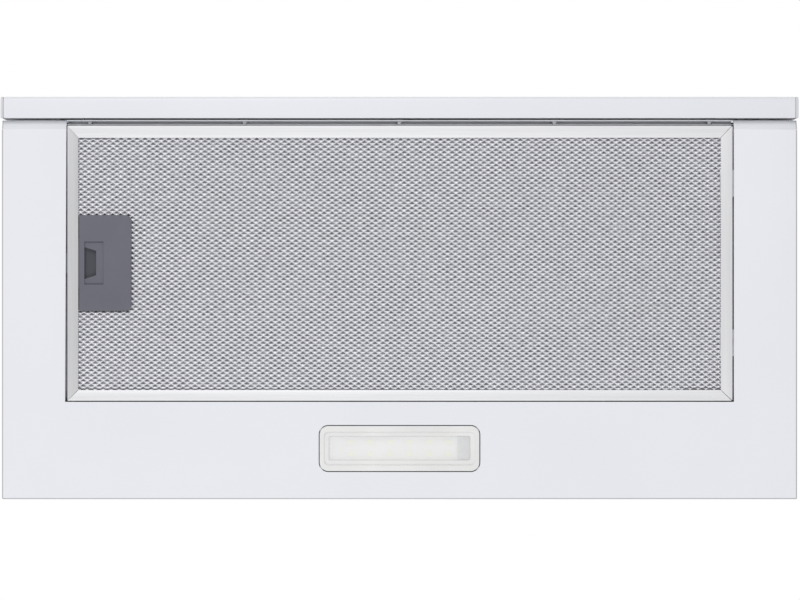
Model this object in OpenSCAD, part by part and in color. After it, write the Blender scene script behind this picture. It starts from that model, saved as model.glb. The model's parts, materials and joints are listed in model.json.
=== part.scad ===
// Slide-out range hood that hangs under a wall cabinet.
// The origin is the middle of the four cabinet screws, on the face that meets the cabinet.
// +Z is up, -Y is the cook's side, +X is to the right of a cook who faces the hood.

/* [Lower body] */
// Width over the side walls
body_w = 598; // [596:0.5:604]
// Depth from the front edge to the wall
body_d = 285; // [284:0.5:288]
// Height from the underside to the cabinet
body_h = 40; // [40:0.5:42]
// Thickness of the steel sheet
sheet = 1; // [0.8:0.1:1]

/* [Upper housing] */
// Width of the housing that stands inside the cabinet
upper_w = 500; // [498:0.5:502]
// Depth of the housing that stands inside the cabinet
upper_d = 262; // [260:0.5:263]
// Height of the housing above the cabinet's base
upper_h = 132; // [132:0.5:134]

/* [Grease filter] */
// Width of the filter over its frame
filter_w = 500; // [498:0.5:501]
// Depth of the filter over its frame
filter_d = 206.6; // [205:0.2:207]
// Thickness of the filter
filter_t = 9; // [9:0.1:9.2]
// Width of the frame strip that shows
strip_w = 8.4; // [8.2:0.1:9]

/* [Slide-out drawer] */
// Thickness of the front panel
panel_t = 16; // [15:0.5:18]
// Length of one end cap
cap_t = 2.4; // [2.2:0.1:5]

/* [Lamp] */
// Width of the lamp's frame
lamp_w = 120; // [119:0.5:122]
// Depth of the lamp's frame
lamp_d = 33.8; // [33.5:0.1:35]
// Corner radius of the lamp's frame
lamp_r = 6.5; // [4:0.5:8]

/* [Outlet] */
// Outer radius of the duct collar
collar_r = 59.5; // [59:0.1:60]
// Height of the collar above its flange
collar_h = 28; // [24:1:32]

/* [Hidden] */
$fn = 48;

// Reference planes of the body
side_x = body_w / 2;
front_y = -body_d / 2;
wall_y = body_d / 2;
under_z = -body_h;
floor_z = under_z + sheet;
e = 0.01; // overrun of a cut past a face

// Colours
white = [0.93, 0.93, 0.94];
steel = [0.72, 0.73, 0.75];
aluminium = [0.80, 0.80, 0.81];
dark_grey = [0.40, 0.40, 0.43];
black = [0.10, 0.10, 0.11];

// Bay in the underside that the filter closes; it runs out at the front edge
bay_gap = 1.5;
bay_x = filter_w / 2 + bay_gap;
filter_y0 = front_y + 4.1;
filter_y1 = filter_y0 + filter_d;
bay_y1 = filter_y1 + 1.1;
filter_z0 = under_z + 0.3;
filter_z1 = filter_z0 + filter_t;
filter_yc = (filter_y0 + filter_y1) / 2;
frame_skin = 0.8;
mesh_t = 0.5;
foil_t = 0.25;
foil_pitch = 6;

// Steel tabs on the right that the filter hangs from
tab_y = [filter_yc - 60, filter_yc + 60];
tab_z0 = filter_z0 + frame_skin + 0.05;

// Bent-up front edge of the arms beside the bay
bevel_run = 6.8;
bevel_rise = 4;

// Walls between the arms and the bay
inner_x = 259;
inner_wall_x0 = inner_x;
inner_wall_x1 = inner_x + sheet;
foot_w = 9;
foot_y0 = front_y + bevel_run + 2;

// Holes for the leads through the right wall
lead_y = 124;
lead_z = [-12, -31];

// Lamp, its front and rear edges
lamp_y1 = wall_y - 21.2;
lamp_y0 = lamp_y1 - lamp_d;
lamp_yc = (lamp_y0 + lamp_y1) / 2;
lamp_gap = 0.8;
lamp_window_w = 106.2;
lamp_window_d = 18.2;
lamp_window_y = lamp_yc - 0.3;
board_z = under_z + 4.6;
led_pitch = 14.6;
led_row = 4.6;

// Cabinet screws
cabinet_screw_x = 274;
cabinet_screw_y = 100;
cabinet_screw_r = 2.5;

// Skirt of the upper housing inside the mounting frame
skirt_z = -9;
frame_gap = 0.3;
bend_r = 3;

// Drawer, from its underside to its top
drawer_z0 = -28;
drawer_z1 = -11;
drawer_x = 248;
drawer_y1 = 112;
panel_gap = 1.7;
panel_y1 = front_y - panel_gap;
panel_y0 = panel_y1 - panel_t;
panel_z0 = under_z - 1;
panel_z1 = -1;
panel_r = 3;
panel_x = 300;
rail_t = 1;
rail_x = bay_x - 0.7;
rail_y1 = panel_y1 + 2.3;
rail_z0 = -36.5;

// Filter of the drawer, and the two bars behind it
drawer_filter_x = 244;
drawer_filter_y0 = front_y + 7;
drawer_filter_y1 = 17;
drawer_filter_z0 = drawer_z0 + 1.05;
drawer_filter_t = 8;
drawer_bar_y = [drawer_filter_y1 + 2, drawer_y1 - 10];

// Front panel screws, the same pitch on both sides of the middle one
front_screw_pitch = 116.8;
front_screw_z = -32;

// Ball slides
slide_y0 = front_y + 4.5;
slide_y1 = drawer_y1;
ball_r = 1.45;
ball_pitch = 12;
cage_y0 = -57.5;
cage_len = 90;

// Latch: the window in its plate, and the slider behind it
plate_x0 = -filter_w / 2 + strip_w + 0.2;
plate_w = 39.8;
plate_d = 72.1;
plate_z0 = filter_z0 - 0.2;
plate_skin = 1;
window_x0 = -237;
window_w = 14.3;
window_d = 32.3;
slider_travel = 5.5;
slider_x0 = -248;
slider_x1 = -214;
slider_z0 = plate_z0 + plate_skin + 0.1;
slider_t = 5;
bolt_w = 15.4;
bolt_t = 3;
bolt_x0 = -255;

// Blower
fan_y = -14;
fan_z = 66;
scroll_r0 = 53;
scroll_r1 = 70;
volute_w = 55;
wall_t = 2;
inlet_r = 38;
throat_y0 = fan_y + 2;
throat_y1 = fan_y + scroll_r1;
throat_yc = (throat_y0 + throat_y1) / 2;
volute_top_z = upper_h - sheet;
volute_flange = 62;
wheel_r = 48;
shaft_r = 4;
motor_r = 29;
motor_x0 = 18;
motor_x1 = 92;
bracket_screw_r = 50;
bracket_x = volute_w + 5.05;
bracket_t = 3;
bracket_angles = [90, 210, 330];

// Outlet collar and its two flaps
collar_y = throat_yc;
collar_wall = 2;
flange_r = 72;
flange_t = 2;
collar_z0 = upper_h;
collar_z1 = collar_z0 + flange_t + collar_h;
flap_z = collar_z0 + 10;
flap_t = 1.2;
flap_pin_r = 1.5;
knuckle_r = 2.6;
flap_r = 56.2;

// Self-tapping screws of the housing
tap_r = 1.4;
tap_hole_r = 1.5;
tap_head_r = 3.2;
side_screw_z = [20, 66, 112];
top_screw_y = [-110, 122];
collar_screw_angles = [45, 135, 225, 315];
collar_screw_r = 66;

// Switches
switch_x0 = 262;
switch_x1 = 296;
switch_z0 = -33;
switch_z1 = -9;
button_w = 8.5;
button_h = 16;
button_travel = 3;
button_pitch = 10.6;
button_gap = 0.4;

// Terminal box on the top sheet
terminal_x = 205;
terminal_y = 88;
terminal_w = 70;
terminal_d = 56;
terminal_h = 26;
terminal_holes = [[terminal_x, terminal_y], [terminal_x - 6, terminal_y + 16]];
gland_r = 4;
gland_z = upper_h + 14;

// Points of an arc from angle a0 to a1
function arc(cx, cy, r, a0, a1, n = 6) =
    [for (i = [0:n]) let (a = a0 + (a1 - a0) * i / n) [cx + r * cos(a), cy + r * sin(a)]];

// Draws a profile of (y, z) points and runs it along X
module along_x(x0, x1) {
    translate([x0, 0, 0]) rotate([90, 0, 90]) linear_extrude(x1 - x0) children();
}

// Box from its lowest to its highest corner
module block(lo, hi) {
    translate(lo) cube(hi - lo);
}

module mirror_x() {
    mirror([1, 0, 0]) children();
}

// Rounded rectangle centred on the origin
module rounded(w, d, r) {
    square([w - 2 * r, d], center = true);
    square([w, d - 2 * r], center = true);
    for (sx = [-1, 1], sy = [-1, 1])
        translate([sx * (w / 2 - r), sy * (d / 2 - r)]) circle(r, $fn = 32);
}

// Cylinder along X between x0 and x1, on the blower's shaft line
module on_shaft(x0, x1, r) {
    translate([x0, fan_y, fan_z]) rotate([0, 90, 0]) cylinder(h = x1 - x0, r = r);
}

// ---------------------------------------------------------------- lower body

// Side view of the pan's outer face, with the bent-up front edge
function pan_outline(t) = [
    [front_y + t, under_z + bevel_rise + t * 0.3],
    [front_y + bevel_run, under_z + t],
    [wall_y - t, under_z + t],
    [wall_y - t, -sheet],
    [front_y + t, -sheet]
];

module pan_holes() {
    // bay for the filter, open at the front
    block([-bay_x, front_y - 1, under_z - 1], [bay_x, bay_y1, floor_z + 2]);
    // front opening for the drawer, wider where its slides come out
    block([-bay_x, front_y - 1, under_z - 1], [bay_x, front_y + 3, 1]);
    block([-inner_wall_x0, front_y - 1, drawer_z0 - 2], [inner_wall_x0, front_y + 3, 1]);
    translate([0, lamp_yc, under_z - 1]) linear_extrude(4)
        rounded(lamp_w + 2 * lamp_gap, lamp_d + 2 * lamp_gap, lamp_r + lamp_gap);
    // window for the switches
    block([switch_x0, front_y - 1, switch_z0], [switch_x1, front_y + 3, switch_z1]);
}

module bottom_pan() {
    color(white) difference() {
        along_x(-side_x, side_x) polygon(pan_outline(0));
        along_x(-side_x + sheet, side_x - sheet) polygon(pan_outline(sheet));
        block([-side_x + sheet, front_y + sheet, -3 * sheet], [side_x - sheet, wall_y - sheet, 1]);
        pan_holes();
    }
}

module mounting_frame() {
    lip_x = upper_w / 2 + frame_gap;
    lip_y = upper_d / 2 + frame_gap;
    color(steel) difference() {
        union() {
            block([-side_x, front_y, -sheet], [side_x, wall_y, 0]);
            block([-lip_x - sheet, -lip_y - sheet, skirt_z], [lip_x + sheet, lip_y + sheet, 0]);
            block([-inner_x + 1, front_y, skirt_z], [inner_x - 1, front_y + sheet, 0]);
        }
        block([-lip_x, -lip_y, skirt_z - 1], [lip_x, lip_y, 1]);
        for (sx = [-1, 1], sy = [-1, 1])
            translate([sx * cabinet_screw_x, sy * cabinet_screw_y, -3])
                cylinder(h = 4, r = cabinet_screw_r);
    }
}

// Wall between an arm and the bay, with a foot that stands on the pan
module inner_wall() {
    color(white) {
        along_x(inner_wall_x0, inner_wall_x1) polygon([
            [front_y + sheet, -sheet], [front_y + sheet, under_z + bevel_rise + 2],
            [foot_y0, floor_z], [wall_y - sheet, floor_z], [wall_y - sheet, -sheet]
        ]);
        block([inner_wall_x0, foot_y0, floor_z], [inner_wall_x1 + foot_w, wall_y - sheet, floor_z + sheet]);
    }
}

module inner_wall_right() {
    color(white) difference() {
        inner_wall();
        for (z = lead_z)
            translate([inner_wall_x0 - 1, lead_y, z]) rotate([0, 90, 0]) cylinder(h = 4, r = 4);
    }
}

module inner_wall_left() {
    mirror_x() inner_wall();
}

// ------------------------------------------------------------- upper housing

// Side view of the housing, drawn t inside its outer face
function upper_outline(t) = let (y = upper_d / 2 - t, r = bend_r - t / 2) concat(
    [[-y, skirt_z]],
    arc(-y + r, upper_h - t - r, r, 180, 90),
    arc(y - r, upper_h - t - r, r, 90, 0),
    [[y, skirt_z]]
);

module housing_screw_places() {
    for (sx = [-1, 1]) {
        x = sx * (upper_w / 2 - 8);
        for (z = side_screw_z) {
            translate([x, -upper_d / 2, z]) rotate([90, 0, 0]) children();
            translate([x, upper_d / 2, z]) rotate([-90, 0, 0]) children();
        }
        for (y = top_screw_y)
            translate([x, y, upper_h]) children();
    }
}

module collar_screw_places() {
    for (a = collar_screw_angles)
        translate([collar_screw_r * cos(a), collar_y + collar_screw_r * sin(a), collar_z0]) children();
}

// On the face of the motor bracket's three feet
module bracket_screw_places() {
    for (a = bracket_angles)
        translate([bracket_x + bracket_t, fan_y + bracket_screw_r * cos(a), fan_z + bracket_screw_r * sin(a)])
            rotate([0, 90, 0]) children();
}

module tap_hole() {
    translate([0, 0, -8]) cylinder(h = 16, r = tap_hole_r);
}

module upper_shell() {
    half = upper_w / 2 - sheet;
    color(white) difference() {
        along_x(-half, half) polygon(upper_outline(0));
        along_x(-half - 1, half + 1) polygon([for (p = upper_outline(sheet)) p[1] < 0 ? [p[0], skirt_z - 1] : p]);
        translate([0, collar_y, upper_h - 3]) cylinder(h = 5, r = collar_r - collar_wall, $fn = 96);
        housing_screw_places() tap_hole();
        collar_screw_places() tap_hole();
        for (hole = terminal_holes)
            translate([hole[0], hole[1], upper_h - 3]) cylinder(h = 5, r = 5);
    }
}

module upper_side_right() {
    fold = 14;
    outer = upper_w / 2;
    color(white) difference() {
        union() {
            along_x(outer - sheet, outer) polygon(upper_outline(0));
            difference() {
                along_x(outer - fold, outer) polygon(upper_outline(sheet + 0.05));
                along_x(outer - fold - 1, outer - sheet)
                    polygon([for (p = upper_outline(2 * sheet + 0.05)) p[1] < 0 ? [p[0], skirt_z - 1] : p]);
            }
        }
        housing_screw_places() tap_hole();
    }
}

module upper_side_left() {
    mirror_x() upper_side_right();
}

// Self-tapping screw whose head sits just clear of the sheet at z = 0
module screw(head_r, head_h, shank_r, shank_l) {
    translate([0, 0, 0.02]) difference() {
        union() {
            cylinder(h = head_h * 0.6, r = head_r);
            translate([0, 0, head_h * 0.6]) cylinder(h = head_h * 0.4, r1 = head_r, r2 = head_r * 0.7);
            translate([0, 0, -shank_l]) cylinder(h = shank_l, r = shank_r);
        }
        for (a = [0, 90]) rotate(a)
            translate([0, 0, head_h]) cube([head_r * 1.1, 0.8, head_h * 1.1], center = true);
    }
}

// Every self-tapping screw of the fixed part: housing, collar and motor bracket
module housing_screws() {
    head_h = 1.8;
    color(steel) {
        housing_screw_places() screw(tap_head_r, head_h, tap_r, 7);
        collar_screw_places() translate([0, 0, flange_t]) screw(tap_head_r, head_h, tap_r, 7);
        bracket_screw_places() screw(tap_head_r, head_h, tap_r, 7);
    }
}

// Spring clip that holds the housing in the cabinet's cut-out until it is screwed up
module side_clip() {
    x = upper_w / 2;
    color(steel) difference() {
        translate([0, 20, 0]) rotate([90, 0, 0]) linear_extrude(40) polygon([
            [x + 0.05, 64], [x + 1.05, 64], [x + 1.05, 47], [x + 11, 22], [x + 9.8, 19.4], [x + 3, 18.6],
            [x + 3, 19.6], [x + 9.2, 20.4], [x + 9.8, 22], [x + 0.05, 46.6]
        ]);
        for (y = [-12, 12])
            translate([x - 1, y, 55]) rotate([0, 90, 0]) cylinder(h = 4, r = 2);
    }
}

module side_clips() {
    side_clip();
    mirror_x() side_clip();
}

// -------------------------------------------------------------------- outlet

module outlet_collar() {
    inner_r = collar_r - collar_wall;
    color(black) translate([0, collar_y, 0]) difference() {
        union() {
            translate([0, 0, collar_z0]) cylinder(h = flange_t, r = flange_r, $fn = 96);
            translate([0, 0, collar_z0]) cylinder(h = collar_z1 - collar_z0, r = collar_r, $fn = 96);
        }
        translate([0, 0, collar_z0 - 1]) cylinder(h = collar_z1, r = inner_r - 3.5, $fn = 96);
        translate([0, 0, flap_z - flap_t / 2 - 0.2]) cylinder(h = collar_z1, r = inner_r, $fn = 96);
        translate([0, 0, collar_z0 - 1]) cylinder(h = 6, r = inner_r, $fn = 96);
        // seats of the flap pin
        translate([-collar_r - 1, 0, flap_z]) rotate([0, 90, 0]) cylinder(h = 2 * collar_r + 2, r = flap_pin_r);
        // relief for the knuckles
        translate([0, 0, flap_z]) cube([2 * inner_r - 0.1, 2 * knuckle_r + 1, 2 * knuckle_r + 1], center = true);
        translate([0, -collar_y, 0]) collar_screw_places() tap_hole();
    }
}

module flap_pin() {
    color(steel) translate([-collar_r, collar_y, flap_z]) rotate([0, 90, 0])
        cylinder(h = 2 * collar_r, r = flap_pin_r);
}

// Half-round flap in front of the pin, with knuckles between x_list pairs
module flap(x_pairs) {
    color(dark_grey) translate([0, collar_y, flap_z]) difference() {
        union() {
            intersection() {
                translate([0, 0, -flap_t / 2]) cylinder(h = flap_t, r = flap_r, $fn = 96);
                block([-flap_r, -flap_r, -flap_t], [flap_r, -knuckle_r - 0.6, flap_t]);
            }
            for (p = x_pairs) {
                translate([p[0], 0, 0]) rotate([0, 90, 0]) cylinder(h = p[1] - p[0], r = knuckle_r);
                block([p[0], -knuckle_r - 1.5, -flap_t / 2], [p[1], 0, flap_t / 2]);
            }
            // stiffening rib
            block([-2, -flap_r * 0.7, flap_t / 2 - e], [2, -flap_r * 0.25, flap_t / 2 + 1.4]);
        }
        translate([-70, 0, 0]) rotate([0, 90, 0]) cylinder(h = 140, r = flap_pin_r + 0.08);
    }
}

module flap_front() {
    flap([[-46, -34], [10, 22]]);
}

module flap_rear() {
    translate([0, 2 * collar_y, 0]) mirror([0, 1, 0]) flap([[-22, -10], [34, 46]]);
}

// -------------------------------------------------------------------- blower

// Outline of the scroll in (y, z), w outside its inner face
function scroll(w, top) = concat(
    [for (i = [0:24]) let (t = i / 24, a = 90 + 270 * t, r = scroll_r0 + (scroll_r1 - scroll_r0) * t + w)
        [fan_y + r * cos(a), fan_z + r * sin(a)]],
    [[throat_y1 + w, top], [throat_y0 - w, top], [throat_y0 - w, fan_z + scroll_r0 + w]]
);

module volute_right() {
    color(black) difference() {
        union() {
            along_x(0, volute_w) polygon(scroll(wall_t, volute_top_z - 0.1));
            // flange under the top sheet
            block([0, collar_y - volute_flange, volute_top_z - 3],
                  [volute_flange, collar_y + volute_flange, volute_top_z - 0.1]);
            // bell mouth of the inlet
            on_shaft(volute_w - 1, volute_w + 3, inlet_r + 3);
            bracket_bosses(volute_w - 1, volute_w + 5, 5);
        }
        along_x(-1, volute_w - wall_t) polygon(scroll(0, volute_top_z + 2));
        collar_screw_places() tap_hole();
        on_shaft(volute_w - 5, volute_w + 6, inlet_r);
        bracket_bosses(volute_w + 0.5, volute_w + 6, tap_hole_r);
    }
}

module volute_left() {
    color(black) difference() {
        union() {
            mirror_x() along_x(0, volute_w) polygon(scroll(wall_t, volute_top_z - 0.1));
            block([-volute_flange, collar_y - volute_flange, volute_top_z - 3],
                  [0, collar_y + volute_flange, volute_top_z - 0.1]);
            on_shaft(-volute_w - 3, -volute_w + 1, inlet_r + 3);
        }
        mirror_x() along_x(-1, volute_w - wall_t) polygon(scroll(0, volute_top_z + 2));
        collar_screw_places() tap_hole();
        on_shaft(-volute_w - 6, -volute_w + 5, inlet_r);
    }
}

// Cylinder along X at each of the bracket's three screws
module bracket_bosses(x0, x1, r) {
    for (a = bracket_angles)
        translate([0, bracket_screw_r * cos(a), bracket_screw_r * sin(a)]) on_shaft(x0, x1, r);
}

module motor_bracket() {
    color(steel) difference() {
        union() {
            on_shaft(bracket_x, bracket_x + 6, motor_r + 4);
            for (a = bracket_angles)
                translate([bracket_x, fan_y, fan_z]) rotate([a, 0, 0])
                    block([0, motor_r + 2, -4], [bracket_t, bracket_screw_r, 4]);
            bracket_bosses(bracket_x, bracket_x + bracket_t, 5);
        }
        on_shaft(bracket_x - 1, bracket_x + 8, motor_r + 0.1);
        bracket_bosses(bracket_x - 1, bracket_x + bracket_t + 1, tap_hole_r);
    }
}

module motor_can() {
    color(steel) difference() {
        on_shaft(motor_x0, motor_x1, motor_r);
        on_shaft(motor_x0 + 2, motor_x1 - 2, motor_r - 1.5);
        on_shaft(motor_x0 - 1, motor_x1 + 1, shaft_r + 1);
    }
    // seats of the two bearings
    color(steel) for (x = [motor_x0 + 2, motor_x1 - 9]) difference() {
        on_shaft(x - 0.01, x + 7.01, 11);
        on_shaft(x - 1, x + 9, 8.05);
    }
}

module motor_bearings() {
    color(steel) for (x = [motor_x0 + 2.5, motor_x1 - 8.5]) difference() {
        on_shaft(x, x + 6, 8);
        on_shaft(x - 1, x + 7, shaft_r + 0.05);
    }
}

module stator_core() {
    color(dark_grey) difference() {
        union() {
            on_shaft(motor_x0 + 18, motor_x1 - 18, motor_r - 1.6);
            on_shaft(motor_x0 + 11, motor_x1 - 11, motor_r - 5);
        }
        on_shaft(motor_x0, motor_x1, 15);
    }
}

module motor_shaft() {
    color(steel) on_shaft(-8, motor_x1 + 4, shaft_r);
}

module rotor_core() {
    color(steel) difference() {
        on_shaft(motor_x0 + 17, motor_x1 - 17, 14.4);
        on_shaft(motor_x0, motor_x1, shaft_r);
    }
}

module impeller() {
    blades = 32;
    color(black) difference() {
        union() {
            on_shaft(-1, 1, wheel_r - 3);
            on_shaft(-6, 14, 9);
            for (x = [-49, 46]) difference() {
                on_shaft(x, x + 3, wheel_r);
                on_shaft(x - 1, x + 4, wheel_r - 5);
            }
            for (i = [0:blades - 1])
                translate([0, fan_y, fan_z]) rotate([360 * i / blades, 0, 0])
                    translate([-48, wheel_r - 4, 0]) rotate([30, 0, 0]) translate([0, -5, -0.6]) cube([96, 8, 1.2]);
        }
        on_shaft(-10, 20, shaft_r);
    }
}

module capacitor() {
    color(white) block([140, -upper_d / 2 + sheet + 0.05, 40], [180, -upper_d / 2 + 21, 58]);
}

// --------------------------------------------------------------- ball slides

module slide_outer_right() {
    color(steel) difference() {
        block([drawer_x + 2, slide_y0, drawer_z0], [inner_wall_x0 - 0.02, slide_y1, drawer_z1]);
        block([drawer_x + 1, slide_y0 - 1, drawer_z0 + 1], [inner_wall_x0 - 1, slide_y1 + 1, drawer_z1 - 1]);
    }
}

module slide_outer_left() {
    mirror_x() slide_outer_right();
}

module slide_inner_right() {
    color(steel) difference() {
        block([drawer_x + 0.02, slide_y0, drawer_z0 + 4], [drawer_x + 9, slide_y1, drawer_z1 - 4]);
        block([drawer_x + 1, slide_y0 - 1, drawer_z0 + 5], [drawer_x + 10, slide_y1 + 1, drawer_z1 - 5]);
    }
}

module slide_inner_left() {
    mirror_x() slide_inner_right();
}

// Retainer strip and its two rows of balls, which are free in their holes
module ball_cage_right() {
    x0 = drawer_x + 2.6;
    x1 = drawer_x + 9.8;
    rows = [drawer_z1 - 2.5, drawer_z0 + 2.5];
    ball_x = drawer_x + 5;
    ball_count = floor((cage_len - 6) / ball_pitch) + 1;
    color(steel) difference() {
        union() {
            block([x1 - 0.5, cage_y0, rows[1] - 0.3], [x1, cage_y0 + cage_len, rows[0] + 0.3]);
            for (z = rows) block([x0, cage_y0, z - 0.3], [x1, cage_y0 + cage_len, z + 0.3]);
        }
        for (z = rows, i = [0:ball_count - 1])
            translate([ball_x, cage_y0 + 4 + i * ball_pitch, z - 1]) cylinder(h = 2, r = ball_r + 0.15, $fn = 24);
    }
    color(steel) for (z = rows, i = [0:ball_count - 1])
        translate([ball_x, cage_y0 + 4 + i * ball_pitch, z]) sphere(ball_r, $fn = 24);
}

module ball_cage_left() {
    mirror_x() ball_cage_right();
}

// -------------------------------------------------------------------- drawer

// Side rail of the drawer, with the ledge that its filter lies on
module drawer_side_rail() {
    block([drawer_x - 2, front_y + 5, drawer_z0], [drawer_x, drawer_y1, drawer_z1]);
    block([drawer_x - 8, front_y + 5, drawer_z0], [drawer_x - 1, drawer_filter_y1 + 3, drawer_z0 + 1]);
}

module drawer_frame() {
    color(white) {
        drawer_side_rail();
        mirror_x() drawer_side_rail();
        for (y = drawer_bar_y)
            block([-drawer_x + 1, y, drawer_z0], [drawer_x - 1, y + 8, drawer_z0 + 6]);
    }
}

module front_screw_places() {
    for (i = [-2:2])
        translate([i * front_screw_pitch, rail_y1, front_screw_z]) rotate([-90, 0, 0]) children();
}

// Channel that carries the front panel, with a raised pad round each screw
module drawer_front_rail() {
    color(white) difference() {
        union() {
            block([-rail_x, rail_y1 - rail_t, rail_z0], [rail_x, rail_y1, drawer_z1]);
            for (z = [drawer_z0 - 1.5, drawer_z1 - 1])
                block([-drawer_x, rail_y1 - rail_t, z], [drawer_x, front_y + 4.95, z + 1]);
            front_screw_places() translate([0, 0, panel_y1 + 0.02 - rail_y1])
                cylinder(h = rail_y1 - panel_y1 - 0.04, r = 4.5);
        }
        front_screw_places() tap_hole();
    }
}

module front_screws() {
    color(steel) front_screw_places() screw(2.15, 2.2, tap_r, 5.5);
}

module drawer_cover() {
    color(white) block(
        [-drawer_x + 2.05, front_y + 5, drawer_z1 - 1],
        [drawer_x - 2.05, drawer_filter_y1 + 10, drawer_z1]
    );
}

// Channel-section frame between corners lo and hi, with its four mitred corners cut apart
module channel_frame(lo, hi) {
    cut = 0.15;
    skin = [frame_skin, frame_skin, frame_skin];
    difference() {
        block(lo, hi);
        block([lo[0] + strip_w, lo[1] + strip_w, lo[2] - 1], [hi[0] - strip_w, hi[1] - strip_w, hi[2] + 1]);
        block(lo + skin, hi - skin);
        for (c = [[lo[0], lo[1], 45], [hi[0], lo[1], 135], [hi[0], hi[1], 225], [lo[0], hi[1], 315]])
            translate([c[0], c[1], lo[2] - 1]) rotate(c[2])
                translate([-5, -cut / 2, 0]) cube([strip_w * 1.5 + 7, cut, hi[2] - lo[2] + 2]);
    }
}

module drawer_filter_frame() {
    color(aluminium) channel_frame(
        [-drawer_filter_x, drawer_filter_y0, drawer_filter_z0],
        [drawer_filter_x, drawer_filter_y1, drawer_filter_z0 + drawer_filter_t]
    );
}

// Sheets of mesh above and below a folded foil, between corners lo and hi
module mesh_pair(lo, hi) {
    block(lo, [hi[0], hi[1], lo[2] + mesh_t]);
    block([lo[0], lo[1], hi[2] - mesh_t], hi);
}

// Foil folded to and fro along X, between corners lo and hi
module folded_foil(lo, hi) {
    folds = floor((hi[0] - lo[0]) / foil_pitch);
    step = (hi[0] - lo[0]) / folds;
    crest = [for (i = [0:folds]) [lo[0] + i * step, i % 2 == 0 ? lo[2] : hi[2] - foil_t]];
    back = [for (i = [folds:-1:0]) crest[i] + [0, foil_t]];
    translate([0, hi[1], 0]) rotate([90, 0, 0]) linear_extrude(hi[1] - lo[1]) polygon(concat(crest, back));
}

module drawer_mesh() {
    inset = 0.9;
    lo = [-drawer_filter_x + inset, drawer_filter_y0 + inset, drawer_filter_z0 + inset];
    hi = [drawer_filter_x - inset, drawer_filter_y1 - inset, drawer_filter_z0 + drawer_filter_t - inset];
    gap = [0, 0, mesh_t + 0.05];
    color(aluminium) {
        mesh_pair(lo, hi);
        folded_foil(lo + gap, hi - gap);
    }
}

module drawer_magnet() {
    color(dark_grey) block([235, drawer_y1 - 24, drawer_z0 + 0.1], [245.9, drawer_y1 - 12, drawer_z0 + 6]);
}

// Side view of the front panel, drawn t inside its outer face
function panel_outline(t) = let (r = panel_r - t / 2) concat(
    arc(panel_y0 + t + r, panel_z0 + t + r, r, 180, 270),
    [[panel_y1 - t, panel_z0 + t], [panel_y1 - t, panel_z1 - t]],
    arc(panel_y0 + t + r, panel_z1 - t - r, r, 90, 180)
);

module front_panel() {
    x = panel_x - cap_t;
    color(white) difference() {
        along_x(-x, x) polygon(panel_outline(0));
        along_x(-x - 1, x + 1) polygon(panel_outline(sheet));
        front_screw_places() tap_hole();
    }
}

module end_cap_right() {
    x = panel_x - cap_t;
    color([0.86, 0.86, 0.88]) {
        along_x(x + 0.05, panel_x) polygon(panel_outline(0));
        along_x(x - 6, x + 0.06) difference() {
            polygon(panel_outline(sheet + 0.1));
            polygon(panel_outline(sheet + 1.6));
        }
    }
}

module end_cap_left() {
    mirror_x() end_cap_right();
}

// ------------------------------------------------------------- grease filter

module filter_frame() {
    color(aluminium) difference() {
        channel_frame(
            [-filter_w / 2, filter_y0, filter_z0], [filter_w / 2, filter_y1, filter_z1]
        );
        // way out for the latch bolt
        block([-filter_w / 2 - 1, -bolt_w / 2 - 0.4 + filter_yc, slider_z0 - 0.05],
              [-filter_w / 2 + 2, bolt_w / 2 + 0.4 + filter_yc, slider_z0 + bolt_t + 0.3]);
        // slots for the two hanging tabs
        for (y = tab_y) block([filter_w / 2 - 2, y - 10.2, tab_z0 - 0.05], [filter_w / 2 + 1, y + 10.2, tab_z0 + 0.9]);
    }
}

// Room in the filter pads for the latch
module latch_room() {
    block([plate_x0 - 0.2, filter_yc - plate_d / 2 - 0.2, filter_z0 - 1],
          [plate_x0 + plate_w + 0.2, filter_yc + plate_d / 2 + 0.2, filter_z1 + 1]);
    block([-filter_w / 2, filter_yc - 19, filter_z0 - 1], [plate_x0 + 1, filter_yc + 19, filter_z1 + 1]);
}

// Notches for the two hanging tabs
module tab_room() {
    for (y = tab_y) block([filter_w / 2 - 12, y - 10.5, filter_z0], [filter_w / 2, y + 10.5, tab_z0 + 1]);
}

// Corners of the room inside the frame, less a margin of z at the top and bottom
function pad_lo(z) = [-filter_w / 2 + 1, filter_y0 + 1, filter_z0 + frame_skin + z];
function pad_hi(z) = [filter_w / 2 - 1, filter_y1 - 1, filter_z1 - frame_skin - z];

module filter_mesh() {
    color(aluminium) difference() {
        mesh_pair(pad_lo(0.05), pad_hi(0.05));
        latch_room();
        tab_room();
    }
}

module filter_core() {
    z = mesh_t + 0.1;
    color([0.65, 0.65, 0.67]) difference() {
        folded_foil(pad_lo(z), pad_hi(z));
        latch_room();
        tab_room();
    }
}

module filter_tabs() {
    color(steel) for (y = tab_y)
        block([filter_w / 2 - 9, y - 10, tab_z0], [filter_w / 2 + 6.5, y + 10, tab_z0 + 0.8]);
}

module latch_plate() {
    cx = plate_x0 + plate_w / 2;
    cavity_z1 = slider_z0 + slider_t + 0.2;
    color(dark_grey) difference() {
        union() {
            translate([cx, filter_yc, plate_z0]) linear_extrude(plate_skin) union() {
                translate([-plate_w / 2, -plate_d / 2]) square([plate_w / 2, plate_d]);
                rounded(plate_w, plate_d, 4.5);
            }
            block([plate_x0, filter_yc - 28, plate_z0 + plate_skin - e],
                  [plate_x0 + plate_w - 0.5, filter_yc + 28, cavity_z1 + 1]);
        }
        block([plate_x0 - 1, filter_yc - 18.2, plate_z0 + plate_skin], [plate_x0 + plate_w - 1.5, filter_yc + 18.2, cavity_z1]);
        block([window_x0, filter_yc - window_d / 2, plate_z0 - 1],
              [window_x0 + window_w, filter_yc + window_d / 2, plate_z0 + 2]);
    }
}

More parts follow.
